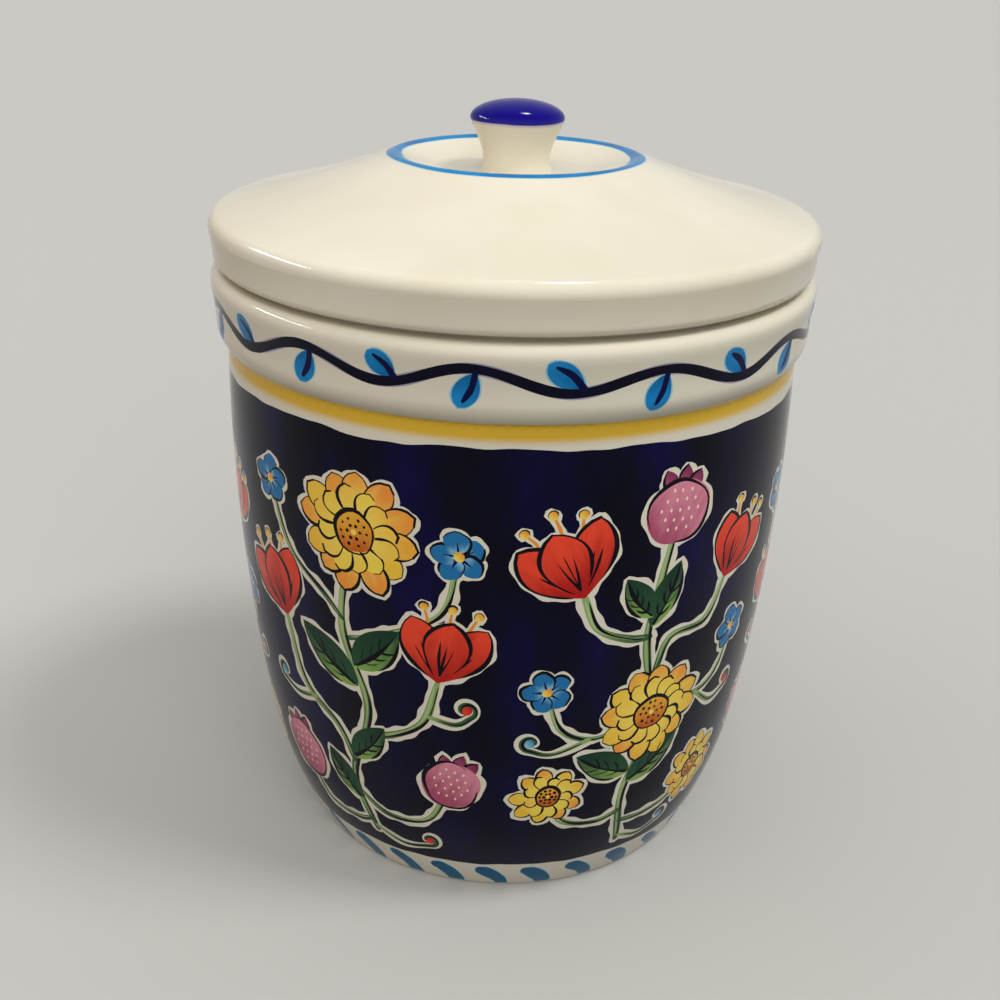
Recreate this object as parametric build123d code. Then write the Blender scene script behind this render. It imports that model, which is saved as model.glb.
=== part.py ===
from build123d import *
import math
import os

# A lidded kitchen canister in glazed ceramic. Millimetres, +Z up, origin at the
# centre of the foot on the table. Every piece is a solid of revolution about Z.
#
# jar_body   slip-cast vessel: foot ring, bellied side, rolled collar, straight mouth
# seal_ring  silicone ring: a flat flange on the jar's rim and a finned sleeve below it
# lid_shell  hollow domed lid: dished finger well, bowed skirt, grooved spigot
# lid_knob   waisted knob, cast by itself and luted to the floor of the finger well

# Jar, outside
belly_radius = 83.1
belly_height = 130.0
side_arc_radius = 614.0
base_arc_radius = 135.0
base_arc_height = 40.0
foot_edge_round = 1.6
crease_height = 154.9
crease_round = 1.2
collar_foot_rise = 5.8
collar_foot_inset = 0.8
collar_waist_depth = 0.3
collar_bulge_rise = 15.5
collar_overhang = 3.2
collar_height = 20.5
rim_outer_round = 2.8
rim_inner_round = 1.2

# Jar, inside and underneath
jar_wall = 6.0
collar_wall = 9.3
mouth_depth = 26.0
mouth_taper_height = 8.0
floor_thickness = 6.5
floor_round = 12.0
foot_land_width = 4.5
foot_recess_depth = 2.5
foot_recess_slope = 2.0

# Seal
seal_flange_thickness = 1.6
seal_flange_overhang = 3.0
seal_wall = 1.3
seal_depth = 10.6
seal_running_clearance = 0.1
seal_rib_depth = 1.4
seal_rib_height = 2.4
seal_rib_drop = 6.4
fin_clearance = 0.3
fin_root_height = 1.8
fin_tip_height = 0.6
fin_droop = 0.9
upper_fin_drop = 2.6
lower_fin_drop = 6.8

# Lid
lid_height = 28.4
lid_skirt_inset = 1.0
lid_skirt_flare = 1.4
lid_shoulder_height = 12.6
lid_shoulder_round = 3.6
lid_edge_round = 2.4
lid_wall = 6.0
lid_ceiling_wall = 5.0
dome_bulge = 1.1
skirt_bulge = 0.4
spigot_gap = 3.2
spigot_depth = 14.0
spigot_wall = 5.0
spigot_edge_round = 1.2
lid_inner_round = 5.0
crest_radius = 34.4
crest_round = 2.4
well_depth = 4.8
well_floor_radius = 21.0
well_round = 14.0

# Knob
knob_radius = 13.2
knob_height = 19.1
knob_cap_height = 5.0
knob_base_radius = 10.2
knob_waist_radius = 9.45
knob_waist_height = 2.6
knob_throat_radius = 10.0
knob_throat_height = 6.4
knob_lip_inset = 0.35
knob_lip_drop = 0.9

# Length of a Bezier handle that makes a quarter of an ellipse, as a share of its axis
ellipse_handle = 0.5523

# Heights and radii that follow from those sizes
collar_radius = belly_radius + collar_overhang
collar_foot_radius = collar_radius - collar_foot_inset
collar_foot_height = crease_height + collar_foot_rise
collar_bulge_height = crease_height + collar_bulge_rise
rim_height = crease_height + collar_height
mouth_radius = collar_radius - collar_wall
floor_height = foot_recess_depth + floor_thickness
mouth_foot_height = rim_height - mouth_depth
mouth_taper_foot_height = mouth_foot_height - mouth_taper_height
seat_height = rim_height + seal_flange_thickness
spigot_radius = mouth_radius - spigot_gap
spigot_inner_radius = spigot_radius - spigot_wall
spigot_foot_height = seat_height - spigot_depth
groove_top_height = seat_height - seal_rib_drop
groove_foot_height = groove_top_height - seal_rib_height
crest_height = seat_height + lid_height
well_floor_height = crest_height - well_depth
lid_skirt_radius = collar_radius - lid_skirt_inset
lid_radius = lid_skirt_radius + lid_skirt_flare
knob_top_height = well_floor_height + knob_height
knob_lip_radius = knob_radius - knob_lip_inset

# The two arcs of the jar's side meet in line at base_arc_height
side_centre_radius = belly_radius - side_arc_radius
side_arc_sine = (belly_height - base_arc_height) / side_arc_radius
base_centre_radius = side_centre_radius + (side_arc_radius - base_arc_radius) * math.sqrt(
    1 - side_arc_sine**2
)
base_centre_height = base_arc_height + base_arc_radius * side_arc_sine


def half_section(*curves):
    """The flat half section inside a closed chain of curves; x is radius and y is height."""
    return make_face([edge for curve in curves for edge in curve.edges()])


def rounded(section, roundings):
    """Rounds the corners of a half section. Each rounding is (radius, height, round)."""
    for radius, height, size in roundings:
        corner = section.vertices().sort_by_distance((radius, height, 0))[0]
        section = fillet(corner, size)
    return section


def turned(section):
    """The solid that a half section sweeps about Z."""
    return revolve(Plane.XZ * section, Axis.Z)


def side_radius(height, inset=0.0):
    """Radius of the bellied side at a height, taken in by the wall."""
    join_height = base_arc_height + inset * side_arc_sine
    if height >= join_height:
        arc = side_arc_radius - inset
        return side_centre_radius + math.sqrt(arc**2 - (height - belly_height) ** 2)
    arc = base_arc_radius - inset
    return base_centre_radius + math.sqrt(arc**2 - (height - base_centre_height) ** 2)


def side_arcs(low, high, inset=0.0):
    """The bellied side between two heights, as a lower and an upper arc."""
    join_height = base_arc_height + inset * side_arc_sine
    arcs = []
    for start, end in ((low, join_height), (join_height, high)):
        heights = (start, (start + end) / 2, end)
        arcs.append(ThreePointArc(*[(side_radius(z, inset), z) for z in heights]))
    return arcs


def jar_body():
    """Foot ring, bellied side, rolled collar and a straight mouth for the seal's fins."""
    foot_radius = side_radius(0)
    foot_inner_radius = foot_radius - foot_land_width
    crease_radius = side_radius(crease_height)
    taper_foot_radius = side_radius(mouth_taper_foot_height, jar_wall)
    floor_edge_radius = side_radius(floor_height, jar_wall)
    collar = [
        TangentArc(
            (collar_foot_radius, collar_foot_height),
            (crease_radius, crease_height),
            tangent=(0, -1),
        ),
        SagittaArc(
            (collar_foot_radius, collar_foot_height),
            (collar_radius, collar_bulge_height),
            collar_waist_depth,
        ),
    ]
    mouth = Polyline(
        (collar_radius, collar_bulge_height),
        (collar_radius, rim_height),
        (mouth_radius, rim_height),
        (mouth_radius, mouth_foot_height),
        (taper_foot_radius, mouth_taper_foot_height),
    )
    underneath = Polyline(
        (floor_edge_radius, floor_height),
        (0, floor_height),
        (0, foot_recess_depth),
        (foot_inner_radius - foot_recess_slope, foot_recess_depth),
        (foot_inner_radius, 0),
        (foot_radius, 0),
    )
    section = rounded(
        half_section(
            *side_arcs(0, crease_height),
            *collar,
            mouth,
            *side_arcs(floor_height, mouth_taper_foot_height, jar_wall),
            underneath,
        ),
        [
            (foot_radius, 0, foot_edge_round),
            (crease_radius, crease_height, crease_round),
            (collar_radius, rim_height, rim_outer_round),
            (mouth_radius, rim_height, rim_inner_round),
            (floor_edge_radius, floor_height, floor_round),
        ],
    )
    return turned(section)


def seal_fin(drop, sleeve_radius):
    """Half section of one drooping fin that reaches towards the jar's mouth."""
    root_top = rim_height - drop
    root_foot = root_top - fin_root_height
    tip_radius = mouth_radius - fin_clearance
    tip_middle = (root_top + root_foot) / 2 - fin_droop
    buried_radius = sleeve_radius - seal_wall / 2
    return half_section(
        Polyline(
            (buried_radius, root_top),
            (sleeve_radius, root_top),
            (tip_radius, tip_middle + fin_tip_height / 2),
            (tip_radius, tip_middle - fin_tip_height / 2),
            (sleeve_radius, root_foot),
            (buried_radius, root_foot),
            close=True,
        )
    )


def seal_ring():
    """A flat flange between rim and lid, a sleeve round the spigot, a rib and two fins."""
    inner_radius = spigot_radius + seal_running_clearance
    sleeve_radius = inner_radius + seal_wall
    sleeve_foot_height = seat_height - seal_depth
    flange_radius = mouth_radius + seal_flange_overhang
    rib_radius = inner_radius - seal_rib_depth
    rib_top_height = groove_top_height - seal_running_clearance
    rib_foot_height = groove_foot_height + seal_running_clearance
    section = half_section(
        Polyline(
            (inner_radius, seat_height),
            (flange_radius, seat_height),
            (flange_radius, rim_height),
            (sleeve_radius, rim_height),
            (sleeve_radius, sleeve_foot_height),
            (inner_radius, sleeve_foot_height),
            (inner_radius, rib_foot_height),
            (rib_radius, rib_foot_height),
            (rib_radius, rib_top_height),
            (inner_radius, rib_top_height),
            close=True,
        )
    )
    for drop in (upper_fin_drop, lower_fin_drop):
        section += seal_fin(drop, sleeve_radius)
    return turned(section)


def lid_shell():
    """Domed top with a finger well, a softly bowed skirt, and a grooved spigot for the seal."""
    shoulder_height = seat_height + lid_shoulder_height
    groove_radius = spigot_radius - seal_rib_depth
    inner_shoulder_height = shoulder_height - lid_wall
    ceiling_height = well_floor_height - lid_ceiling_wall
    inner_crest_height = crest_height - lid_wall
    top = Polyline(
        (0, ceiling_height),
        (0, well_floor_height),
        (well_floor_radius, well_floor_height),
        (crest_radius, crest_height),
    )
    dome = SagittaArc(
        (crest_radius, crest_height),
        (lid_radius, shoulder_height),
        -dome_bulge,
    )
    skirt = SagittaArc(
        (lid_radius, shoulder_height),
        (lid_skirt_radius, seat_height),
        -skirt_bulge,
    )
    underneath = Polyline(
        (lid_skirt_radius, seat_height),
        (spigot_radius, seat_height),
        (spigot_radius, groove_top_height),
        (groove_radius, groove_top_height),
        (groove_radius, groove_foot_height),
        (spigot_radius, groove_foot_height),
        (spigot_radius, spigot_foot_height),
        (spigot_inner_radius, spigot_foot_height),
        (spigot_inner_radius, inner_shoulder_height),
        (crest_radius, inner_crest_height),
        (well_floor_radius, ceiling_height),
        (0, ceiling_height),
    )
    section = rounded(
        half_section(top, dome, skirt, underneath),
        [
            (well_floor_radius, well_floor_height, well_round),
            (crest_radius, crest_height, crest_round),
            (lid_radius, shoulder_height, lid_shoulder_round),
            (lid_skirt_radius, seat_height, lid_edge_round),
            (spigot_radius, spigot_foot_height, spigot_edge_round),
            (spigot_inner_radius, spigot_foot_height, spigot_edge_round),
            (spigot_inner_radius, inner_shoulder_height, lid_inner_round),
            (crest_radius, inner_crest_height, lid_inner_round),
            (well_floor_radius, ceiling_height, lid_inner_round),
        ],
    )
    return turned(section)


def lid_knob():
    """A waisted stem that flares to a lip under a low elliptical cap."""
    widest_height = knob_top_height - knob_cap_height
    lip_point = (knob_lip_radius, widest_height - knob_lip_drop)
    base = Line((0, well_floor_height), (knob_base_radius, well_floor_height))
    stem = Spline(
        (knob_base_radius, well_floor_height),
        (knob_waist_radius, well_floor_height + knob_waist_height),
        (knob_throat_radius, well_floor_height + knob_throat_height),
        lip_point,
    )
    cap = Bezier(
        (knob_radius, widest_height),
        (knob_radius, widest_height + ellipse_handle * knob_cap_height),
        (ellipse_handle * knob_radius, knob_top_height),
        (0, knob_top_height),
    )
    lip = Spline(lip_point, (knob_radius, widest_height), tangents=(stem % 1, (0, 1)))
    axis = Line((0, knob_top_height), (0, well_floor_height))
    return turned(half_section(base, stem, lip, cap, axis))


pieces = {
    "jar_body": jar_body(),
    "seal_ring": seal_ring(),
    "lid_shell": lid_shell(),
    "lid_knob": lid_knob(),
}

os.makedirs("parts", exist_ok=True)
for node, piece in pieces.items():
    export_step(piece, f"parts/{node}.step")
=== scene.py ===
import math
import random

import bpy
import numpy as np
from mathutils import Matrix, Vector
from mathutils.geometry import delaunay_2d_cdt


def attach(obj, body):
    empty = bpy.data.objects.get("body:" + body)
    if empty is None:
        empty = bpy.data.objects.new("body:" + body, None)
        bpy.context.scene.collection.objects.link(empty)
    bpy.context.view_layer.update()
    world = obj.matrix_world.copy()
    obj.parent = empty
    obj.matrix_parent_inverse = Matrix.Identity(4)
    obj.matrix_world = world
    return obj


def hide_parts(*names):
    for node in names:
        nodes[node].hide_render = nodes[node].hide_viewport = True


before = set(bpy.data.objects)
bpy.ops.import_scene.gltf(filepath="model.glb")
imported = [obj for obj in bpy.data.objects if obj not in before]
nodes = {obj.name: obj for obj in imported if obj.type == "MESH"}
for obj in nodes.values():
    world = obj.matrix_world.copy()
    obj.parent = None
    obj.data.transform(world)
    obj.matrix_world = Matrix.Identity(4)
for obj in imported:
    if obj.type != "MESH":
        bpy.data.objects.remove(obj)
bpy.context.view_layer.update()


# Camera and light

def place_camera():
    """The view from above the front: 24.4 degrees down, rolled by 1.45 degrees."""
    tilt, roll, distance = math.radians(24.4), math.radians(1.45), 0.402
    lens, sensor_width = 45.9, 36.0
    target = Vector((-0.0022, 0.0, 0.098))
    back = Vector((0.0, -math.cos(tilt), math.sin(tilt)))
    side = Vector((1.0, 0.0, 0.0))
    up = Vector((0.0, math.sin(tilt), math.cos(tilt)))
    right = math.cos(roll) * side + math.sin(roll) * up
    top = -math.sin(roll) * side + math.cos(roll) * up
    data = bpy.data.cameras.new("camera")
    data.lens, data.sensor_width = lens, sensor_width
    camera = bpy.data.objects.new("camera", data)
    turn = Matrix((right, top, back)).transposed().to_4x4()
    camera.matrix_world = Matrix.Translation(target + distance * back) @ turn
    bpy.context.collection.objects.link(camera)
    bpy.context.scene.camera = camera


def sun(name, towards, width, strength, colour):
    """Soft even light from one direction; width is how much of the sky it fills, in degrees."""
    data = bpy.data.lights.new(name, "SUN")
    data.angle, data.energy, data.color = math.radians(width), strength, colour
    obj = bpy.data.objects.new(name, data)
    obj.rotation_euler = Vector(towards).to_track_quat("Z", "Y").to_euler()
    obj.visible_glossy = False
    bpy.context.collection.objects.link(obj)


def gleam(name, towards, wide, tall, power):
    """A lamp that lights nothing and is seen only in the glaze."""
    middle, distance = Vector((0, 0, 0.17)), 1.2
    data = bpy.data.lights.new(name, "AREA")
    data.shape, data.size, data.size_y, data.energy = "RECTANGLE", wide, tall, power
    obj = bpy.data.objects.new(name, data)
    away = Vector(towards).normalized()
    obj.location = middle + distance * away
    obj.rotation_euler = away.to_track_quat("Z", "Y").to_euler()
    obj.visible_diffuse = False
    bpy.context.collection.objects.link(obj)


def set_light():
    daylight, warm, amber = (1.0, 0.98, 0.94), (1.0, 0.97, 0.91), (1.0, 0.66, 0.43)
    sun("key", (0.5, -0.12, 0.86), 16, 1.06, daylight)
    sun("sky", (-0.05, 0.0, 1.0), 100, 1.0, daylight)
    sun("front", (0.12, -0.85, 0.5), 60, 1.23, warm)
    sun("side", (-0.9, -0.2, 0.3), 60, 0.41, amber)
    gleam("window", (-0.85, 0.14, 0.5), 0.7, 0.07, 8.0)
    gleam("ceiling", (0.14, 0.3, 0.94), 0.16, 0.1, 4.0)
    set_backdrop()


def set_backdrop():
    """A dim even light all round, which looks as pale as the floor where it is seen or mirrored."""
    world = bpy.data.worlds.new("studio")
    world.use_nodes = True
    tree = world.node_tree
    dim, out = tree.nodes["Background"], tree.nodes["World Output"]
    dim.inputs["Color"].default_value = (0.95, 0.97, 1.0, 1.0)
    dim.inputs["Strength"].default_value = 0.28
    pale = tree.nodes.new("ShaderNodeBackground")
    pale.inputs["Color"].default_value = (*linear(188, 189, 188), 1.0)
    rays = tree.nodes.new("ShaderNodeLightPath")
    seen = rays.outputs["Is Camera Ray"]
    for kind in ("Is Glossy Ray", "Is Transmission Ray"):
        either = tree.nodes.new("ShaderNodeMath")
        either.operation = "MAXIMUM"
        tree.links.new(seen, either.inputs[0])
        tree.links.new(rays.outputs[kind], either.inputs[1])
        seen = either.outputs[0]
    mix = tree.nodes.new("ShaderNodeMixShader")
    tree.links.new(seen, mix.inputs[0])
    tree.links.new(dim.outputs[0], mix.inputs[1])
    tree.links.new(pale.outputs[0], mix.inputs[2])
    tree.links.new(mix.outputs[0], out.inputs["Surface"])
    bpy.context.scene.world = world


# Materials

def linear(r, g, b):
    """A colour as it looks on a screen, 0 to 255, as the numbers that nodes hold."""
    parts = [c / 255 for c in (r, g, b)]
    return tuple(c / 12.92 if c <= 0.04045 else ((c + 0.055) / 1.055) ** 2.4 for c in parts)


class Tree:
    """A material's node tree, built by short calls."""

    def __init__(self, name):
        self.mat = bpy.data.materials.new(name)
        self.mat.use_nodes = True
        self.nodes = self.mat.node_tree.nodes
        self.shader = self.nodes["Principled BSDF"]
        self.coords = self.add("ShaderNodeTexCoord").outputs["Object"]

    def add(self, kind, **settings):
        node = self.nodes.new(kind)
        for key, value in settings.items():
            setattr(node, key, value)
        return node

    def put(self, value, socket):
        """Wires an output to a socket, or sets the socket to a constant."""
        if isinstance(value, bpy.types.NodeSocket):
            self.mat.node_tree.links.new(value, socket)
        else:
            socket.default_value = value

    def math(self, op, *values):
        node = self.add("ShaderNodeMath", operation=op)
        for value, socket in zip(values, node.inputs):
            self.put(value, socket)
        return node.outputs[0]

    def vector(self, op, *values):
        node = self.add("ShaderNodeVectorMath", operation=op)
        for value, socket in zip(values, node.inputs):
            self.put(value, socket)
        return node.outputs[0]

    def noise(self, scale, detail=3.0, stretch=(1, 1, 1), vector=None):
        """Smooth noise from 0 to 1, over the piece itself or over a vector."""
        node = self.add("ShaderNodeTexNoise")
        place = self.vector("MULTIPLY", vector or self.coords, stretch)
        self.put(place, node.inputs["Vector"])
        node.inputs["Scale"].default_value = scale
        node.inputs["Detail"].default_value = detail
        return node.outputs["Fac"]

    def ramp(self, value, low, high, start=0.0, end=1.0):
        """A smooth change from start to end while the value goes from low to high."""
        node = self.add("ShaderNodeMapRange", interpolation_type="SMOOTHSTEP")
        for v, socket in zip((value, low, high, start, end), node.inputs):
            self.put(v, socket)
        return node.outputs[0]

    def mix(self, share, a, b):
        """Colour a where the share is 0 and colour b where it is 1."""
        node = self.add("ShaderNodeMix", data_type="RGBA")
        self.put(share, node.inputs["Factor"])
        sockets = [s for s in node.inputs if s.type == "RGBA"]
        for value, socket in zip((a, b), sockets):
            self.put((*value, 1.0) if isinstance(value, tuple) else value, socket)
        return [s for s in node.outputs if s.type == "RGBA"][0]

    def glaze(self, colour, specular, roughness=0.1):
        """Fired glaze: glossy, smeared here and there, with a faint swell in its surface."""
        swell_height = 0.00006
        self.put(colour, self.shader.inputs["Base Color"])
        smear = self.noise(70.0, 4.0)
        self.put(self.ramp(smear, 0.3, 0.75, roughness * 0.75, roughness * 1.6),
                 self.shader.inputs["Roughness"])
        self.shader.inputs["Specular IOR Level"].default_value = specular
        bump = self.add("ShaderNodeBump")
        bump.inputs["Strength"].default_value = 0.35
        bump.inputs["Distance"].default_value = swell_height
        self.put(self.noise(45.0, 2.0), bump.inputs["Height"])
        self.put(bump.outputs[0], self.shader.inputs["Normal"])
        return self.mat


def glaze_ground(tree):
    """Cream-white glaze, a little warmer where it lies thicker."""
    cloud = tree.ramp(tree.noise(18.0, 3.0), 0.35, 0.7)
    return tree.mix(cloud, linear(234, 229, 212), linear(226, 219, 199))


def band(tree, value, low, high, edge):
    """1 between low and high and 0 beyond them, with edges that are soft inwards."""
    rise = tree.ramp(value, low, low + edge)
    fall = tree.ramp(value, high - edge, high, 1.0, 0.0)
    return tree.math("MULTIPLY", rise, fall)


def brush_wander(tree, scale):
    """How far a painted edge strays, at most 1.1 mm either way."""
    return tree.math("MULTIPLY_ADD", tree.noise(scale, 1.0), 0.0022, -0.0011)


def lid_material():
    """Bare glaze with a blue ring painted round the finger well."""
    ring_inner, ring_outer, bleed_width, dome_foot = 0.0320, 0.0365, 0.0006, 0.2
    tree = Tree("lid_glaze")
    ground = glaze_ground(tree)
    flat = tree.vector("MULTIPLY", tree.coords, (1.0, 1.0, 0.0))
    reach = tree.add("ShaderNodeVectorMath", operation="LENGTH")
    tree.put(flat, reach.inputs[0])
    radius = tree.math("ADD", reach.outputs["Value"], brush_wander(tree, 28.0))
    place = tree.add("ShaderNodeSeparateXYZ")
    tree.put(tree.coords, place.inputs[0])
    upper = tree.math("GREATER_THAN", place.outputs["Z"], dome_foot)
    soft = band(tree, radius, ring_inner - bleed_width, ring_outer + bleed_width, 0.0007)
    bleed = tree.math("MULTIPLY", soft, upper)
    ring = tree.math("MULTIPLY", band(tree, radius, ring_inner, ring_outer, 0.0003), upper)
    brush = tree.ramp(tree.noise(60.0, 3.0), 0.3, 0.7)
    blue = tree.mix(brush, linear(18, 136, 200), linear(16, 108, 170))
    ground = tree.mix(tree.math("MULTIPLY", bleed, 0.55), ground, linear(150, 200, 216))
    return tree.glaze(tree.mix(ring, ground, blue), specular=0.18)


def knob_material():
    """Bare glaze under a cobalt cap, which is thinner and paler along its lower edge."""
    cap_foot = 0.2141
    tree = Tree("knob_glaze")
    ground = glaze_ground(tree)
    place = tree.add("ShaderNodeSeparateXYZ")
    tree.put(tree.coords, place.inputs[0])
    height = tree.math("ADD", place.outputs["Z"], brush_wander(tree, 60.0))
    bleed = tree.ramp(height, cap_foot - 0.0008, cap_foot + 0.0001, 0.0, 0.7)
    cap = tree.ramp(height, cap_foot, cap_foot + 0.0003)
    thick = tree.ramp(height, cap_foot + 0.0002, cap_foot + 0.0021)
    cobalt = tree.mix(thick, linear(42, 36, 142), linear(14, 3, 126))
    ground = tree.mix(bleed, ground, linear(172, 166, 206))
    return tree.glaze(tree.mix(cap, ground, cobalt), roughness=0.07, specular=0.1)


def seal_material():
    """Matte silicone, a little hazy."""
    tree = Tree("seal_silicone")
    haze = tree.ramp(tree.noise(40.0, 2.0), 0.3, 0.7)
    tree.put(tree.mix(haze, linear(172, 168, 158), linear(160, 156, 147)),
             tree.shader.inputs["Base Color"])
    tree.put(tree.ramp(tree.noise(400.0, 2.0), 0.3, 0.7, 0.45, 0.6),
             tree.shader.inputs["Roughness"])
    return tree.mat


def paint_material():
    """The jar's glaze: every painted shape runs from one colour to another along its length."""
    tree = Tree("jar_glaze")
    near = tree.add("ShaderNodeAttribute", attribute_name="paint_near")
    far = tree.add("ShaderNodeAttribute", attribute_name="paint_far")
    place = tree.add("ShaderNodeAttribute", attribute_name="paint_place")
    split = tree.add("ShaderNodeSeparateXYZ")
    tree.put(place.outputs["Vector"], split.inputs[0])
    streaks = tree.noise(1.0, 3.0, (1.6, 7.0, 1.0), place.outputs["Vector"])
    cloud = tree.noise(60.0, 5.0, (1.0, 1.0, 0.38))
    brush = tree.math("ADD", streaks, cloud)
    swing = tree.math("MULTIPLY", tree.math("SUBTRACT", brush, 1.0), near.outputs["Alpha"])
    share = tree.ramp(tree.math("ADD", split.outputs["X"], swing), 0.0, 1.0)
    return tree.glaze(tree.mix(share, near.outputs["Color"], far.outputs["Color"]), specular=0.1)


# The jar's outline

def half_section(node):
    """Where a turned node's surface meets its XZ half plane: radius, height and normal, in mm."""
    plane_depth = 1e-6
    mesh = nodes[node].data
    spots = np.array([vertex.co for vertex in mesh.vertices])
    facings = np.zeros_like(spots)
    for loop, corner in zip(mesh.loops, mesh.corner_normals):
        facings[loop.vertex_index] += corner.vector
    facings /= np.linalg.norm(facings, axis=1)[:, None]
    section = (np.abs(spots[:, 1]) < plane_depth) & (spots[:, 0] > 0)
    return np.column_stack([1000 * spots, facings])[section][:, [0, 2, 3, 5]]


def in_order(points, column):
    """Section points sorted by radius (column 0) or height (column 1), each one once."""
    least_gap = 0.01
    points = points[np.argsort(points[:, column])]
    gaps = np.hypot(*np.diff(points[:, :2], axis=0).T)
    return points[np.r_[True, gaps > least_gap]]


def jar_outline():
    """The jar's half section in three runs: under the foot, up the outside and down the inside."""
    least_lean, recess_top = 0.02, 5.0
    section = half_section("jar_body")
    outward = section[:, 2] > least_lean
    underneath = section[:, 1] < recess_top
    recess = in_order(section[~outward & underneath], 0)
    wall = in_order(section[outward], 1)
    inside = in_order(section[~outward & ~underneath], 1)[::-1]
    return recess, wall, inside


# Painting in the flat

# Painted shapes are outlines on the unrolled wall: x is the unrolled radius times the angle
# from the front and z is the height, both in millimetres. Shapes of a higher layer lie over
# those of a lower one, and in one layer later shapes lie over earlier ones.
unrolled_radius = 80.0
girth = 2 * math.pi * unrolled_radius
seam = girth / 2
shapes = []
rng = random.Random(11)


def jitter(size):
    return rng.uniform(-size, size)


def any_phase():
    return rng.uniform(0, 6.3)


def lay(outline, near, far=None, base=None, tip=None, brush=0.6, layer=3):
    """Lays a shape of paint. It runs from the colour near at base to the colour far at tip."""
    outline = np.asarray(outline, float)
    if base is None:
        base, tip = outline.min(0), outline.max(0)
    shapes.append((layer, outline, near, far or near, np.array(base), np.array(tip), brush))


def smooth(points):
    """A curve through points, as evenly spaced points."""
    pitch = 1.2
    p = np.array(points, float)
    p = np.vstack([2 * p[0] - p[1], p, 2 * p[-1] - p[-2]])
    line = []
    for i in range(1, len(p) - 2):
        count = max(2, int(np.hypot(*(p[i + 1] - p[i])) / pitch))
        for k in range(count):
            t = k / count
            line.append(0.5 * (2 * p[i] + (p[i + 1] - p[i - 1]) * t
                        + (2 * p[i - 1] - 5 * p[i] + 4 * p[i + 1] - p[i + 2]) * t * t
                        + (3 * p[i] - p[i - 1] - 3 * p[i + 1] + p[i + 2]) * t ** 3))
    line.append(p[-2])
    return np.array(line)


def stroke(line, width, ends=(0.5, 0.5), wobble=0.12):
    """The outline of a brush stroke along a line; ends gives its width at each end as a share."""
    line = np.asarray(line, float)
    swelling, thinning, fullness = 0.25, 0.35, 0.6
    n = len(line)
    t = np.linspace(0, 1, n)
    fade_in = ends[0] + (1 - ends[0]) * np.clip(t / swelling, 0, 1) ** fullness
    fade_out = ends[1] + (1 - ends[1]) * np.clip((1 - t) / thinning, 0, 1) ** fullness
    phase = any_phase()
    half = 0.5 * width * fade_in * fade_out * (1 + wobble * np.sin(phase + t * n * 0.35))
    along = np.gradient(line, axis=0)
    along /= np.maximum(np.hypot(along[:, 0], along[:, 1]), 1e-9)[:, None]
    side = np.column_stack([-along[:, 1], along[:, 0]])
    left, right = line + side * half[:, None], line - side * half[:, None]
    caps = []
    for centre, direction, radius in ((line[-1], along[-1], half[-1]), (line[0], -along[0], half[0])):
        across = np.array([-direction[1], direction[0]])
        angles = np.linspace(0, math.pi, max(4, int(3 + radius * 3)))[1:-1]
        caps.append([centre + radius * (np.cos(a) * across + np.sin(a) * direction) for a in angles])
    return np.vstack([left, caps[0], right[::-1], caps[1]])


def petal(place, angle, length, width, widest=0.5, *, points, taper=0.8):
    """A petal or leaf from place; angle 0 points up. widest is where along it that part lies."""
    t = np.linspace(0, 1, points // 2 + 1)
    shape = np.abs(np.sin(np.pi * t ** (math.log(0.5) / math.log(widest))))
    half = width / 2 * shape ** taper
    half[0] = half[-1] = 0.0
    left = np.column_stack([-half, t * length])
    right = left[::-1] * (-1, 1)
    outline = np.vstack([left, right[1:-1]])
    return turn(outline, place, angle)


def turn(outline, place, angle):
    """An outline turned clockwise by an angle in degrees and set down at a place."""
    a = math.radians(angle)
    c, s = math.cos(a), math.sin(a)
    x, z = outline[:, 0], outline[:, 1]
    return np.column_stack([place[0] + c * x + s * z, place[1] - s * x + c * z])


def disc(place, radius, wobble=0.05, points=None):
    """A hand-drawn disc, not quite round."""
    points = points or max(9, int(4.5 * radius ** 0.6 + 7))
    a = np.linspace(0, 2 * math.pi, points, endpoint=False)
    phase = any_phase()
    r = radius * (1 + wobble * np.sin(2 * a + phase) + 0.4 * wobble * np.sin(5 * a))
    return np.column_stack([place[0] + r * np.cos(a), place[1] + r * np.sin(a)])


white = linear(228, 223, 206)
ink = linear(10, 8, 22)
navy = linear(1, 1, 21)
navy_bright = linear(6, 3, 86)
cobalt_line = linear(10, 4, 104)
leaf_dark, leaf_light = linear(40, 80, 54), linear(136, 176, 88)
stem_dark, stem_light = linear(58, 92, 62), linear(146, 176, 112)
red_dark, red_light = linear(180, 30, 26), linear(240, 76, 50)
yellow_light, yellow_dark = linear(252, 226, 104), linear(236, 150, 40)
pink_light, pink_dark = linear(224, 142, 164), linear(176, 82, 112)
sky_light, sky_dark = linear(150, 210, 232), linear(36, 118, 176)
blue_bleed = linear(158, 204, 218)


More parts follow.
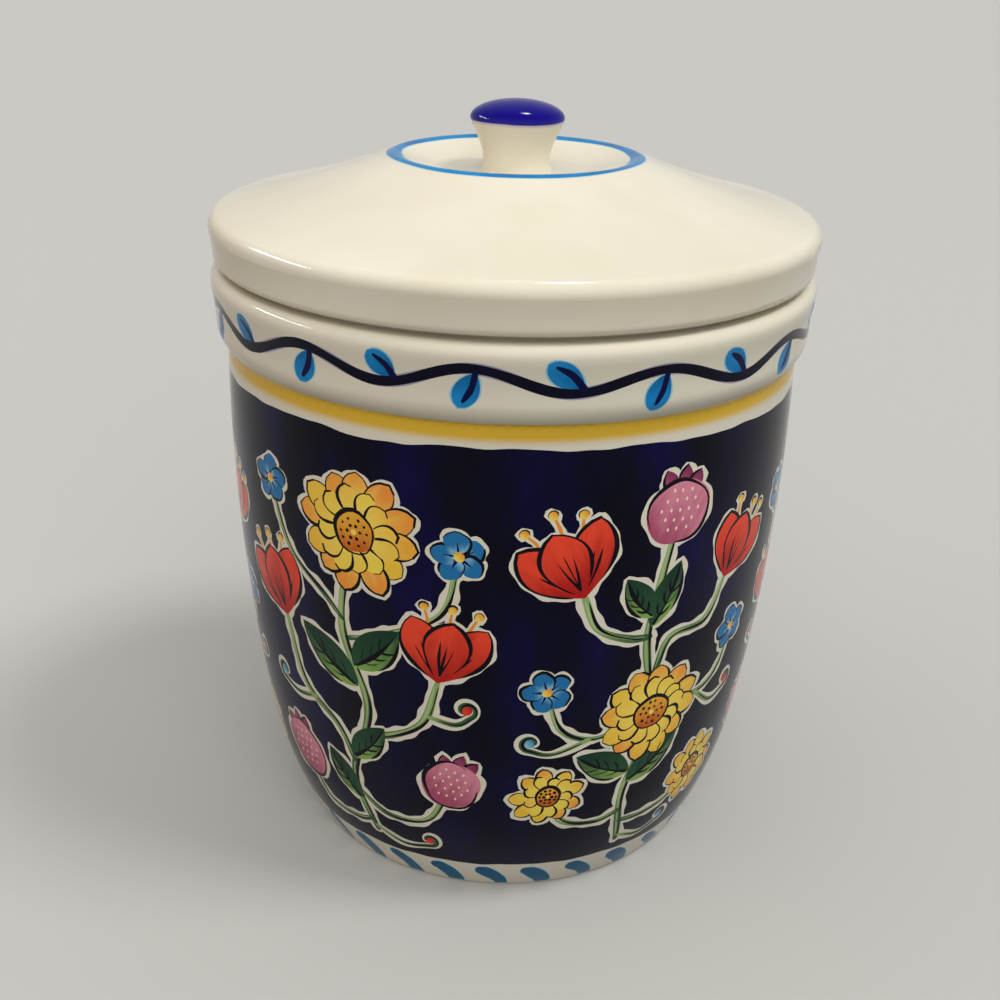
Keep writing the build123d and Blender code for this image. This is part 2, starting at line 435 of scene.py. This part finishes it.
def halo(outline, width=1.15, pitch=1.0, colour=white):
    """The bare glaze left round a painted shape, wider in some places than in others."""
    ring = np.vstack([outline, outline[:1]])
    gaps = np.hypot(*np.diff(ring, axis=0).T)
    along = np.concatenate([[0.0], np.cumsum(gaps)])
    count = max(10, int(along[-1] / pitch))
    at = np.linspace(0, along[-1], count, endpoint=False)
    x, z = np.interp(at, along, ring[:, 0]), np.interp(at, along, ring[:, 1])
    dx, dz = np.roll(x, -1) - np.roll(x, 1), np.roll(z, -1) - np.roll(z, 1)
    area = np.sum(x * np.roll(z, -1) - z * np.roll(x, -1))
    length = np.maximum(np.hypot(dx, dz), 1e-9) * (1 if area > 0 else -1)
    t = 2 * math.pi * at / along[-1]
    turns, phase = max(2, round(along[-1] / 14)), any_phase()
    swell = width * (1 + 0.3 * np.sin(turns * t + phase) + 0.2 * np.sin((2 * turns + 1) * t - phase))
    edge = np.column_stack([x + swell * dz / length, z - swell * dx / length])
    lay(edge, colour, brush=0, layer=1)


def outline_ink(line, width, ends, layer=5):
    """A dark line drawn with a brush that presses harder in some places."""
    if len(line) > 2:
        lay(stroke(line, width, ends, wobble=0.45), ink, brush=0, layer=layer)


def stem(points, width=2.3):
    """A stem, pale on one side, with a dark line down the other."""
    line = smooth(points)
    halo(stroke(line, width, (1, 1)))
    lay(stroke(line, width, (0.8, 0.7)), stem_dark, stem_light, line[0], line[-1], layer=2)
    lay(stroke(line[1:-1] + np.array([-0.35, 0.2]), width * 0.34, (0.3, 0.3), wobble=0.4),
        stem_light, linear(176, 198, 138), line[0], line[-1], layer=2)
    outline_ink(line[2:-1] + np.array([width * 0.3, -0.15]), 0.75, (0.3, 0.2), layer=3)


def leaf(place, angle, length, width, flip):
    """A lancet leaf, dark on one side of its rib and light on the other."""
    full = petal(place, angle, length, width, 0.45, points=34)
    halo(full)
    n = len(full) // 2 + 1
    rib = turn(np.column_stack([flip * 1.3 * np.sin(np.linspace(0, math.pi, n)),
                                np.linspace(0, length, n)]), place, angle)
    tip = rib[-1]
    lay(full, leaf_light, leaf_dark, place, tip, brush=0.9, layer=4)
    side = full[:n] if flip > 0 else np.vstack([full[n - 1:], full[:1]])[::-1]
    lay(np.vstack([side, rib[::-1][1:-1]]), leaf_dark, linear(24, 56, 42), place, tip, layer=4)
    outline_ink(rib[1:-1], 1.0, (0.9, 0.2), layer=6)
    for share in (0.22, 0.4, 0.58):
        root = rib[int(share * (n - 1))]
        for way in (-1, 1):
            vein = np.array([[0, 0], [way * width * 0.17, length * 0.09],
                             [way * width * 0.26, length * 0.19]])
            outline_ink(smooth(turn(vein, root, angle)), 0.55, (0.8, 0.2), layer=6)
    edge = full[n // 6:n - 1] if flip < 0 else full[n + 1:-n // 5]
    outline_ink(edge, 0.8, (0.3, 0.3), layer=6)


def tulip(place, angle, size):
    """A cup of three petals with a small fan of stamens."""
    for lean in (-15, 1, 16):
        lean += jitter(3)
        end = turn(np.array([[0.0, size * (1.08 + jitter(0.04))]]), place, angle + lean)[0]
        mid = turn(np.array([[0.0, size * 0.75]]), place, angle + lean)[0]
        filament = np.array([mid, (mid + end) / 2 + jitter(0.5), end])
        halo(stroke(filament, 1.0, (1, 1)), 0.7)
        halo(disc(end, 1.3), 0.8)
        lay(stroke(filament, 0.9), yellow_dark, layer=4)
        lay(disc(end, 1.35), yellow_light, yellow_dark, layer=4)
        outline_ink(disc(end, 1.3, points=10)[:7], 0.45, (0.3, 0.3), layer=4)
    for lean, long, wide in ((-27, 0.96, 0.52), (26, 1.0, 0.5), (jitter(4), 0.9, 0.56)):
        a = angle + lean + jitter(3)
        outline = petal(place, a, size * long, size * wide, 0.6, points=34, taper=0.7)
        halo(outline)
        end = turn(np.array([[0.0, size * long]]), place, a)[0]
        lay(outline, red_dark, red_light, place, end, brush=0.9, layer=5)
        n = len(outline) // 2
        outline_ink(outline[2:n + 1], 0.95, (0.2, 0.6))
        outline_ink(outline[n:-3], 0.95, (0.6, 0.2))
        for way in (-1, 0, 1):
            vein = np.array([[0, size * 0.12], [way * size * 0.06, size * 0.36],
                             [way * size * 0.09, size * (0.58 + jitter(0.06))]])
            outline_ink(smooth(turn(vein, place, a)), 0.6, (0.8, 0.1))


def daisy(place, size, petals=12):
    """Two rings of petals round a dotted button."""
    start = rng.uniform(0, 360)
    line, thin_line = (0.75, 0.65) if size > 13 else (0.6, 0.5)
    for ring, (long, wide, off) in enumerate(((1.0, 0.44, 0.0), (0.72, 0.34, 0.5))):
        for k in range(petals):
            a = start + (k + off) * 360 / petals + jitter(5)
            reach = size * (long + jitter(0.07))
            root = turn(np.array([[0.0, size * 0.2]]), place, a)[0]
            end = turn(np.array([[0.0, reach]]), place, a)[0]
            outline = petal(root, a, reach - size * 0.2, size * wide, 0.64, points=24, taper=0.62)
            if ring == 0:
                halo(outline)
            tip = linear(246, 178 + jitter(26), 66) if ring == 0 else linear(250, 214 + jitter(12), 84)
            lay(outline, yellow_light, tip, root, end, brush=0.8, layer=4)
            n = len(outline) // 2
            outline_ink(outline[2:n + 2], line, (0.2, 0.6), layer=4)
            if ring == 0:
                outline_ink(outline[n + 1:-2], thin_line, (0.6, 0.1), layer=4)
    button = size * 0.34
    lay(disc(place, button), linear(200, 96, 30), linear(244, 184, 60),
        (place[0], place[1] - button), (place[0], place[1] + button), layer=5)
    rim = disc(place, button)
    outline_ink(np.vstack([rim, rim[:2]]), 0.95, (0.5, 0.5), layer=6)
    for ring, count in ((0.22, 10), (0.11, 6)):
        for k in range(count):
            a = 2 * math.pi * (k + jitter(0.15)) / count
            dot = (place[0] + size * ring * math.cos(a), place[1] + size * ring * math.sin(a))
            lay(disc(dot, 0.5 + jitter(0.1), points=7), ink, brush=0, layer=6)
    lay(disc(place, size * 0.05, points=8), yellow_light, layer=6)


def berry(place, angle, size):
    """A round fruit with a little crown and rows of seeds."""
    for lean in (-26, 1, 25):
        root = turn(np.array([[0.0, size * 0.76]]), place, angle + lean)[0]
        crown = petal(root, angle + lean + jitter(5), size * (0.6 + jitter(0.06)), size * 0.46,
                      0.4, points=18)
        halo(crown)
        lay(crown, pink_dark, linear(120, 40, 82), layer=4)
        outline_ink(crown[:len(crown) // 2 + 1], 0.65, (0.3, 0.5), layer=4)
    low = (place[0] - size * 0.5, place[1] - size * 0.8)
    high = (place[0] + size * 0.4, place[1] + size * 0.9)
    body = disc(place, size, points=40)
    halo(body)
    lay(body, pink_dark, pink_light, low, high, brush=1.1, layer=5)
    rim = disc(place, size * 0.97, points=34)
    rim = np.roll(rim, rng.randrange(34), axis=0)[:29]
    outline_ink(rim, 1.0, (0.2, 0.2), layer=6)
    for across, count in ((-0.56, 3), (-0.28, 4), (0.0, 5), (0.28, 4), (0.56, 3)):
        for k in range(count):
            spot = np.array([[size * ((k - (count - 1) / 2) * 0.3 + jitter(0.02)),
                              size * (across + jitter(0.02))]])
            seed = petal(turn(spot, place, angle)[0], angle, size * 0.13, size * 0.08, points=8)
            lay(seed, linear(252, 226, 200), brush=0, layer=6)


def floret(place, size):
    """Five round blue petals and a yellow eye."""
    start = rng.uniform(0, 72)
    spots = []
    for k in range(5):
        a = math.radians(start + 72 * k + jitter(5))
        reach = size * (0.56 + jitter(0.03))
        spots.append((place[0] + reach * math.sin(a), place[1] + reach * math.cos(a)))
    for spot in spots:
        body = disc(spot, size * (0.43 + jitter(0.03)), wobble=0.09, points=18)
        halo(body, 0.95, 0.6)
        lay(body, sky_light, sky_dark, place, spot, layer=5)
        rim = np.roll(body, rng.randrange(18), axis=0)[:14]
        outline_ink(rim, 0.7, (0.2, 0.4))
        inner = np.array([place, [(place[0] + spot[0]) / 2, (place[1] + spot[1]) / 2],
                          [spot[0], spot[1]]])
        lay(stroke(inner, 0.7, (0.6, 0.2)), cobalt_line, brush=0, layer=5)
    lay(disc(place, size * 0.2), yellow_light, yellow_dark, layer=6)


def tendril(points, curl, way, colours=(red_light, red_dark)):
    """A thin stem that ends in a curl round a dot."""
    line = smooth(points)
    end, before = line[-1], line[-2]
    heading = math.atan2(*(end - before)[::-1])
    centre = end + curl * np.array([-math.sin(heading), math.cos(heading)]) * way
    first = math.atan2(*(end - centre)[::-1])
    turns = np.linspace(0, 1.45 * math.pi, 18)[1:]
    spiral = [centre + curl * (1 - 0.42 * a / turns[-1])
              * np.array([math.cos(first + way * a), math.sin(first + way * a)]) for a in turns]
    line = np.vstack([line, spiral])
    lay(stroke(line, 3.4, (1, 0.8), wobble=0.25), white, brush=0, layer=1)
    lay(disc(centre, curl * 0.62, points=14), *colours, layer=2)
    lay(stroke(line, 1.5, (1.0, 0.5)), stem_light, stem_dark, line[0], line[-1], layer=3)
    outline_ink(line[2:] + np.array([0.35, -0.1]), 0.65, (0.3, 0.3), layer=3)


def hand(x, flip):
    """A hand that sets down points round x a little unevenly: one point, or a path of several."""
    def at(dx, z, stray=0.8):
        return (x + flip * dx + jitter(stray), z + jitter(stray))

    def path(*points):
        return [at(dx, z, 0.4) for dx, z in points]

    return at, path


def spray_a(x, flip):
    """A tall spray: a daisy over two tulips, with berries below."""
    at, path = hand(x, flip)
    top = at(3, 121)
    stem(path((0, 18), (-4.5, 40), (3.5, 66), (-3, 92)) + [top], 2.6)
    left, right = at(-25, 85), at(24, 80)
    stem(path((-3.5, 45), (-9, 56), (-21, 66)) + [left])
    stem(path((2, 58), (10, 59), (20, 66)) + [right])
    tulip(left, flip * -18 + jitter(4), 23)
    tulip(right, flip * 10 + jitter(4), 22)
    low, high = at(-27, 37), at(28, 45)
    stem(path((-1, 22), (-9, 20), (-21, 22)) + [low], 2.0)
    stem(path((-4, 34), (6, 27), (20, 30)) + [high], 2.0)
    berry(low, flip * -16 + jitter(5), 9.6)
    berry(high, flip * 14 + jitter(5), 8.6)
    leaf(at(0.5, 73, 0.4), flip * -52, 24, 11, -flip)
    leaf(at(0, 79, 0.4), flip * 44, 21, 11, flip)
    leaf(at(-3.5, 30, 0.4), flip * -34, 19, 8.5, -flip)
    leaf(at(-4, 46, 0.4), flip * 40, 19, 9, flip)
    far, near = at(-29, 127), at(31, 119)
    stem(path((-3, 94), (-9, 100), (-21, 110)) + [far], 1.7)
    stem(path((-1, 88), (8, 92), (25, 102)) + [near], 1.7)
    floret(far, 6.9)
    floret(near, 7.2)
    tendril(path((-17, 62.5), (-26, 60), (-33, 61)), 2.8, -flip, (sky_light, sky_dark))
    tendril(path((22, 68), (29, 67), (34, 70)), 2.7, flip)
    tendril(path((0, 19), (9, 15.5), (20, 17.5)), 2.6, flip)
    daisy(top, 17.5)


def spray_b(x, flip):
    """A wide spray: a daisy at its heart, tulips above, small daisies at the sides."""
    at, path = hand(x, flip)
    heart, top = at(-2, 66), at(-3, 128)
    stem(path((1, 17), (4, 36), (1, 50)) + [heart], 2.6)
    stem([heart] + path((3, 90), (1.5, 106)) + [top], 2.4)
    left, right = at(-22, 103), at(22, 108)
    stem(path((0, 80), (-4, 90), (-16, 92)) + [left])
    stem(path((3, 92), (9, 93), (18, 98)) + [right])
    tulip(left, flip * -26 + jitter(4), 21)
    tulip(right, flip * 20 + jitter(4), 23)
    low, high = at(-26, 36), at(28, 42)
    stem(path((2, 26), (-7, 25), (-18, 28)) + [low], 2.0)
    stem(path((3, 31), (12, 28), (23, 31)) + [high], 2.0)
    daisy(low, 12.0, 10)
    daisy(high, 11.0, 9)
    far, near = at(-31, 83), at(30, 78)
    stem(path((-6, 68), (-20, 67), (-27, 72)) + [far], 1.7)
    stem(path((4, 64), (17, 61), (26, 66)) + [near], 1.7)
    floret(far, 6.8)
    floret(near, 7.0)
    leaf(at(3.5, 42, 0.4), flip * -50, 22, 10.5, -flip)
    leaf(at(3, 46, 0.4), flip * 62, 20, 10, flip)
    leaf(at(2.5, 95, 0.4), flip * -22, 20, 8.5, -flip)
    leaf(at(2, 98, 0.4), flip * 34, 16, 8, flip)
    tendril(path((-18, 66.5), (-27, 60), (-35, 61)), 2.7, -flip)
    tendril(path((18, 61), (28, 57), (35, 59)), 2.6, flip, (sky_light, sky_dark))
    tendril(path((1, 18), (-8, 15.5), (-17, 18)), 2.5, -flip, (sky_light, sky_dark))
    daisy(heart, 16.5)
    berry(top, flip * -6, 9.4)


def wander(x, points, ripple=0.15):
    """Heights along a hand-painted edge through a few points, closed round the jar."""
    at, height = np.array(points).T
    a = x / unrolled_radius
    return (np.interp(x, at, height, period=girth)
            + ripple * (np.sin(17 * a) + 0.7 * np.sin(31 * a + 1) + 0.5 * np.sin(53 * a + 2)))


def bands():
    """The navy ground, the yellow line under the crease and the strokes round the base."""
    x = np.linspace(-seam, seam, 257)
    top = wander(x, [(-180, 147.9), (-130, 148.3), (-86, 147.4), (-72, 148.0), (-51, 148.4),
                     (-40, 147.8), (-26, 147.8), (-15, 149.0), (4, 148.9), (15, 148.2), (30, 148.6),
                     (40, 147.9), (55, 147.5), (86, 146.9), (130, 147.9), (190, 148.4)])
    low = wander(x, [(-150, 11.3), (-60, 10.6), (-36, 10.9), (0, 11.7), (40, 11.3), (150, 11.0)])
    ground = np.vstack([np.column_stack([x, top]), np.column_stack([x, low])[::-1]])
    # the ground's base and tip lie so far off that only the brush mixes its two blues
    far_below, far_above = (0, -140000.0), (0, 400000.0)
    lay(ground, navy, navy_bright, far_below, far_above, brush=1.6, layer=0)
    upper = wander(x, [(-180, 155.0), (-86, 154.8), (0, 155.3), (86, 154.7), (180, 155.1)], 0.05)
    lower = wander(x, [(-180, 149.3), (-86, 149.2), (0, 149.4), (86, 148.9), (180, 149.3)], 0.12)
    line = np.vstack([np.column_stack([x, upper]), np.column_stack([x, lower])[::-1]])
    lay(line, white, linear(228, 186, 60), (0, 149.3), (0, 152.0), brush=0, layer=0)
    strokes, first_head = 31, -6.3
    drop = [(0, 7.9), (1.9, 7.3), (4.7, 5.1), (6.8, 2.5), (7.6, 0.4)]
    for k in range(strokes):
        head = first_head + (k - strokes // 2) * girth / strokes + jitter(0.6)
        curve = smooth([(head + dx * (1 + jitter(0.05)), z + jitter(0.15)) for dx, z in drop])
        brush = stroke(curve, 5.2, (0.72, 0.9))
        halo(brush, 0.3, colour=blue_bleed)
        lay(brush, linear(10, 92, 134), linear(26, 104, 140), curve[0], curve[-1], layer=2)


def vine():
    """The wavy stem round the collar, with a leaf in each dip and one below each rise."""
    # each turn's place and height, how far on its leaf sits, and that leaf's share of full length
    turns = [(-73.0, 163.6, 1.5, 0.95), (-51.5, 169.6, 1.7, 0.95), (-30.5, 164.4, 2.8, 0.86),
             (-9.5, 169.9, 0.0, 1.0), (13.5, 163.9, 0.0, 1.0), (35.5, 168.4, -0.8, 1.0),
             (58.6, 162.5, -1.6, 1.0), (79.0, 168.0, 0.0, 1.0)]
    last_dip, last_rise, pitch = turns[-2][0], turns[-1][0], 41.23
    for k in range(1, 9):
        turns.append((last_dip + pitch * k + jitter(1.0), 163.3 + jitter(0.5), 0.0, 1.0))
        turns.append((last_rise + pitch * k + jitter(1.0), 168.9 + jitter(0.5), 0.0, 1.0))
    path, places = [], [(x, z) for x, z, _, _ in turns]
    pieces = 20
    for (ax, az), (bx, bz) in zip(places, places[1:] + [(places[0][0] + girth, places[0][1])]):
        for i in range(pieces):
            rise = 0.5 - 0.5 * math.cos(math.pi * i / pieces)
            path.append((ax + (bx - ax) * i / pieces, az + (bz - az) * rise))
    path = np.array(path + [(x + girth, z) for x, z in path[:6]])
    lay(stroke(path, 2.95, (1, 1), wobble=0.08), linear(164, 162, 184), brush=0, layer=1)
    lay(stroke(path, 2.6, (1, 1), wobble=0.08), linear(4, 4, 30), brush=0, layer=3)
    # root and tip of a leaf, from the middle of the stem
    dip_leaf, rise_leaf = ((1.8, 1.2), (-5.1, 7.7)), ((1.5, -1.2), (-2.5, -10.0))
    for k, (x, _, slide, reach) in enumerate(turns):
        x, z = x + slide, np.interp(x + slide, *path.T)
        x = x - girth if x > seam else x
        root, tip = dip_leaf if k % 2 == 0 else rise_leaf
        root = np.array([x + root[0] + jitter(0.8), z + root[1]])
        tip = np.array([x + tip[0] + jitter(1.2), z + tip[1] + jitter(0.4)])
        run = reach * (tip - root)
        tip = root + run
        lean, long = math.degrees(math.atan2(run[0], run[1])), math.hypot(*run)
        blade = petal(root, lean, long, 5.9 + jitter(0.4), 0.56, points=28, taper=0.55)
        halo(blade, 0.35, colour=blue_bleed)
        lay(blade, linear(4, 104, 172), linear(28, 138, 204), root, tip, brush=1.0, layer=2)
        bow = np.array([run[1], -run[0]]) * (0.1 if k % 2 == 0 else -0.08)
        mid = smooth([root, root + 0.42 * run + bow, root + 0.8 * run + 0.5 * bow])
        lay(stroke(mid, 1.6, (1.0, 0.5), wobble=0.1), linear(4, 6, 64), brush=0, layer=3)


def paint_all():
    """Bands, vine and six sprays round the jar, of two kinds in turn."""
    bands()
    vine()
    for k, flip in enumerate((1, -1, 1)):
        for spray, sixth, way in ((spray_a, 2 * k - 0.5, flip), (spray_b, 2 * k + 0.5, -flip)):
            spray(sixth * girth / 6 - (girth if sixth > 3 else 0), way)


# From paint to mesh

def winding(points, outline):
    """Which points lie inside an outline, by how often it winds round them."""
    a, b = outline, np.roll(outline, -1, axis=0)
    count = np.zeros(len(points), int)
    px, pz = points[:, 0], points[:, 1]
    for (ax, az), (bx, bz) in zip(a, b):
        cross = (bx - ax) * (pz - az) - (px - ax) * (bz - az)
        count += (az <= pz) & (bz > pz) & (cross > 0)
        count -= (az > pz) & (bz <= pz) & (cross < 0)
    return count != 0


def within(spots, outline):
    """Which spots lie in the box round an outline."""
    lo, hi = outline.min(0), outline.max(0)
    return ((spots[:, 0] >= lo[0]) & (spots[:, 0] <= hi[0])
            & (spots[:, 1] >= lo[1]) & (spots[:, 1] <= hi[1]))


def edges_in_sight(outlines):
    """For every outline, which of its edges show: at either end or midway no later one covers it."""
    starts = np.vstack(outlines)
    ends = np.vstack([np.roll(outline, -1, axis=0) for outline in outlines])
    rank = np.concatenate([np.full(len(outline), k) for k, outline in enumerate(outlines)])
    spots, rank = np.vstack([starts, (starts + ends) / 2]), np.r_[rank, rank]
    shows = np.ones(len(spots), bool)
    for k, outline in enumerate(outlines):
        under = np.where(shows & (rank < k) & within(spots, outline))[0]
        shows[under] = ~winding(spots[under], outline)
    middles, first, seen = shows[len(starts):], 0, []
    for outline in outlines:
        last = first + len(outline)
        points = shows[first:last]
        seen.append(points | np.roll(points, -1) | middles[first:last])
        first = last
    return seen


# The painted wall goes from wall_low to wall_high, with closer rows from collar_low up. A point
# nearer to a row or to the seam than on_line lies on it.
steps = 144
ring = np.linspace(-seam, seam, steps + 1)
wall_low, collar_low, wall_high = 1.0, 154.0, 174.1
on_line = 1e-4


def shape_copies():
    """Every shape in painting order, again from the seam's other side where it crosses the seam."""
    copies = []
    for number, shape in enumerate(sorted(shapes, key=lambda s: s[0])):
        _, outline, near, far, base, tip, brush = shape
        streak_start = (number * 0.731) % 17.0
        for shift in (-girth, 0.0, girth):
            moved = outline + (shift, 0.0)
            if moved[:, 0].max() > -seam and moved[:, 0].min() < seam:
                ends = base + (shift, 0), tip + (shift, 0)
                copies.append((moved, near, far, *ends, brush, streak_start))
    return copies


def flat_mesh(outlines):
    """The unrolled wall in triangles, cut along every edge of paint that shows."""
    points, edges = [], []

    def chain(outline, seen):
        """Adds the edges of an outline that are seen; edge i runs from point i to the next."""
        number = {}
        for i in np.where(seen)[0]:
            for j in (i, (i + 1) % len(outline)):
                if j not in number:
                    number[j] = len(points)
                    points.append(tuple(outline[j]))
            edges.append((number[i], number[(i + 1) % len(outline)]))

    def open_chain(line):
        chain(line, np.arange(len(line)) < len(line) - 1)

    for outline, seen in zip(outlines, edges_in_sight(outlines)):
        chain(outline, seen)
    for height in (wall_low, wall_high):
        open_chain(np.column_stack([ring, np.full(steps + 1, height)]))
    first_step, pitch, close_pitch = 0.6, 2.6, 0.7
    rows = np.concatenate([np.arange(wall_low + first_step, collar_low, pitch),
                           np.arange(collar_low, wall_high, close_pitch)])
    for side in (-seam, seam):
        open_chain(np.column_stack([np.full(len(rows) + 2, side), np.r_[wall_low, rows, wall_high]]))
    for i, z in enumerate(rows):
        points.extend((x, z) for x in ring[1:-1] + (0.5 * (i % 2) - 0.25) * girth / steps)

    merge_distance = 1e-5
    flat = [Vector(p) for p in points]
    verts, _, faces, _, _, _ = delaunay_2d_cdt(flat, edges, [], 0, merge_distance, False)
    v = np.array([(p.x, p.y) for p in verts])
    f = np.array([t for t in faces if len(t) == 3])
    middle = v[f].mean(axis=1)
    keep = (np.abs(middle[:, 0]) < seam) & (middle[:, 1] > wall_low) & (middle[:, 1] < wall_high)
    return v, f[keep], middle[keep]


def topmost(outlines, spots):
    """For each spot the number of the last outline round it, or -1 on bare glaze."""
    owner = np.full(len(spots), -1)
    for k, outline in enumerate(outlines):
        near_by = np.where(within(spots, outline))[0]
        owner[near_by[winding(spots[near_by], outline)]] = k
    return owner


def paint_values(copies, owner, corners):
    """Corner values: two colours, with the brush's wander as alpha, and the place in the shape."""
    near_colour = np.empty((len(owner), 3, 4))
    far_colour = np.empty((len(owner), 3, 4))
    place = np.empty((len(owner), 3, 3))
    bare = owner < 0
    near_colour[bare] = (*white, 0.0)
    far_colour[bare] = (*white, 1.0)
    place[bare] = 0.0
    for k in np.unique(owner[~bare]):
        _, near, far, base, tip, brush, streak_start = copies[k]
        mine = owner == k
        along = tip - base
        length = math.hypot(*along)
        offset = corners[mine] - base
        u = (offset @ along) / length ** 2
        w = (offset @ np.array([-along[1], along[0]])) / length ** 2
        near_colour[mine] = (*near, brush)
        far_colour[mine] = (*far, 1.0)
        place[mine] = np.stack([u, w, np.full_like(u, streak_start)], axis=-1)
    return near_colour, far_colour, place


class Surface:
    """The jar's surface as it grows: points in metres, their normals, and faces."""

    def __init__(self):
        self.spots, self.facings, self.faces = [], [], []
        self.total = 0

    def add(self, x, radius, height, out, up):
        """Adds points at places x of the unrolled wall and gives their numbers; out and up are
        the two parts of their normals."""
        sine, cosine = np.sin(x / unrolled_radius), np.cos(x / unrolled_radius)
        every = np.ones(len(x))
        self.spots.append(np.column_stack([radius * sine, -radius * cosine, height * every]) * 0.001)
        self.facings.append(np.column_stack([out * sine, -out * cosine, up * every]))
        self.total += len(x)
        return range(self.total - len(x), self.total)

    def turned(self, profile):
        """Adds a ring for each radius, height and normal of a profile, a run of one point a step."""
        return [[[k] for k in self.add(ring[:-1], *point)] for point in profile]

    def join(self, rows):
        """Adds the faces between rings, each of which is a run of points for every step."""
        for lower, upper in zip(rows, rows[1:]):
            for i in range(steps):
                j = (i + 1) % steps
                self.faces.append((*lower[i], lower[j][0], upper[j][0], *upper[i][::-1]))

    def close(self, row, height, up):
        """Closes a ring with a fan about the axis that faces up or down."""
        centre = self.add(np.zeros(1), 0.0, height, 0.0, up)[0]
        for i in range(steps):
            ends = row[i][0], row[(i + 1) % steps][0]
            self.faces.append((*ends[::up], centre))


def edge_row(v, height):
    """For each step of the ring, its point on a painted edge row and those up to the next."""
    on = np.where((np.abs(v[:, 1] - height) < on_line) & (np.abs(v[:, 0]) <= seam + on_line))[0]
    order = on[np.argsort(v[on, 0])]
    cuts = np.searchsorted(v[order, 0], ring - on_line)
    return [list(order[a:b]) for a, b in zip(cuts, cuts[1:])]


def welded(v, total):
    """For each point the one that stands for it: the seam's right edge takes the left one's."""
    least_gap = 1e-3
    right = np.where(np.abs(v[:, 0] - seam) < on_line)[0]
    left = np.where(np.abs(v[:, 0] + seam) < on_line)[0]
    stands = np.arange(total)
    for i in right:
        j = left[np.argmin(np.abs(v[left, 1] - v[i, 1]))]
        if abs(v[j, 1] - v[i, 1]) < least_gap:
            stands[i] = j
    return stands


def painted_jar():
    """The whole jar as one closed mesh, its outer wall cut along every painted edge."""
    copies = shape_copies()
    outlines = [copy[0] for copy in copies]
    v, f, middle = flat_mesh(outlines)
    near_colour, far_colour, place = paint_values(copies, topmost(outlines, middle), v[f])

    # the painted wall, then the rim and inside from its top row and the foot to its bottom row
    recess, wall, inside = jar_outline()
    height, row_gap = wall[:, 1], 0.2
    surface = Surface()
    tilt = np.interp(v[:, 1], height, np.arctan2(wall[:, 3], wall[:, 2]))
    radius = np.interp(v[:, 1], height, wall[:, 0])
    surface.add(v[:, 0], radius, v[:, 1], np.cos(tilt), np.sin(tilt))
    over = surface.turned(np.vstack([wall[height > wall_high + row_gap], inside]))
    surface.join([edge_row(v, wall_high)] + over)
    under = surface.turned(np.vstack([recess, wall[height < wall_low - row_gap]]))
    surface.join(under + [edge_row(v, wall_low)])
    surface.close(over[-1], inside[-1, 1], 1)
    surface.close(under[0], recess[0, 1], -1)

    stands = welded(v, surface.total)
    faces = [stands[list(face)] for face in [*f, *surface.faces]]
    used = np.unique(np.concatenate(faces))
    renumber = np.full(surface.total, -1)
    renumber[used] = np.arange(len(used))
    mesh = bpy.data.meshes.new("jar_painted")
    spots, facings = np.vstack(surface.spots)[used], np.vstack(surface.facings)[used]
    mesh.from_pydata(spots.tolist(), [], [renumber[face].tolist() for face in faces])
    for name, kind, key, values, rest in (
        ("paint_near", "FLOAT_COLOR", "color", near_colour, (*white, 0.0)),
        ("paint_far", "FLOAT_COLOR", "color", far_colour, (*white, 1.0)),
        ("paint_place", "FLOAT_VECTOR", "vector", place, (0.0, 0.0, 0.0)),
    ):
        layer = mesh.attributes.new(name, kind, "CORNER")
        filled = np.tile(np.array(rest, float), (len(mesh.loops), 1))
        filled[:3 * len(f)] = values.reshape(-1, values.shape[-1])
        layer.data.foreach_set(key, filled.ravel())
    mesh.shade_smooth()
    mesh.normals_split_custom_set_from_vertices(facings.tolist())
    obj = bpy.data.objects.new("jar_painted", mesh)
    bpy.context.collection.objects.link(obj)
    return obj


# The scene

def floor():
    """A plain floor, which looks pale but throws little light back up."""
    mesh, far = bpy.data.meshes.new("floor"), 8.0
    corners = [(-far, -far, 0), (far, -far, 0), (far, far, 0), (-far, far, 0)]
    mesh.from_pydata(corners, [], [(0, 1, 2, 3)])
    obj = bpy.data.objects.new("floor", mesh)
    bpy.context.collection.objects.link(obj)
    tree = Tree("floor")
    path = tree.add("ShaderNodeLightPath")
    seen = tree.math("MAXIMUM", path.outputs["Is Camera Ray"], path.outputs["Is Glossy Ray"])
    seen = tree.math("MAXIMUM", seen, path.outputs["Is Transmission Ray"])
    tree.put(tree.mix(seen, linear(82, 79, 75), linear(194, 194, 192)),
             tree.shader.inputs["Base Color"])
    tree.put(0.9, tree.shader.inputs["Roughness"])
    tree.shader.inputs["Specular IOR Level"].default_value = 0.1
    mesh.materials.append(tree.mat)


def dress(node, material):
    """Puts a material on every slot of a CAD piece."""
    for slot in nodes[node].material_slots:
        slot.material = material


place_camera()
set_light()
floor()
dress("lid_shell", lid_material())
dress("lid_knob", knob_material())
dress("seal_ring", seal_material())
paint_all()
jar = painted_jar()
jar.data.materials.append(paint_material())
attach(jar, "jar")
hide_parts("jar_body")

bpy.context.scene.view_settings.view_transform = "Standard"
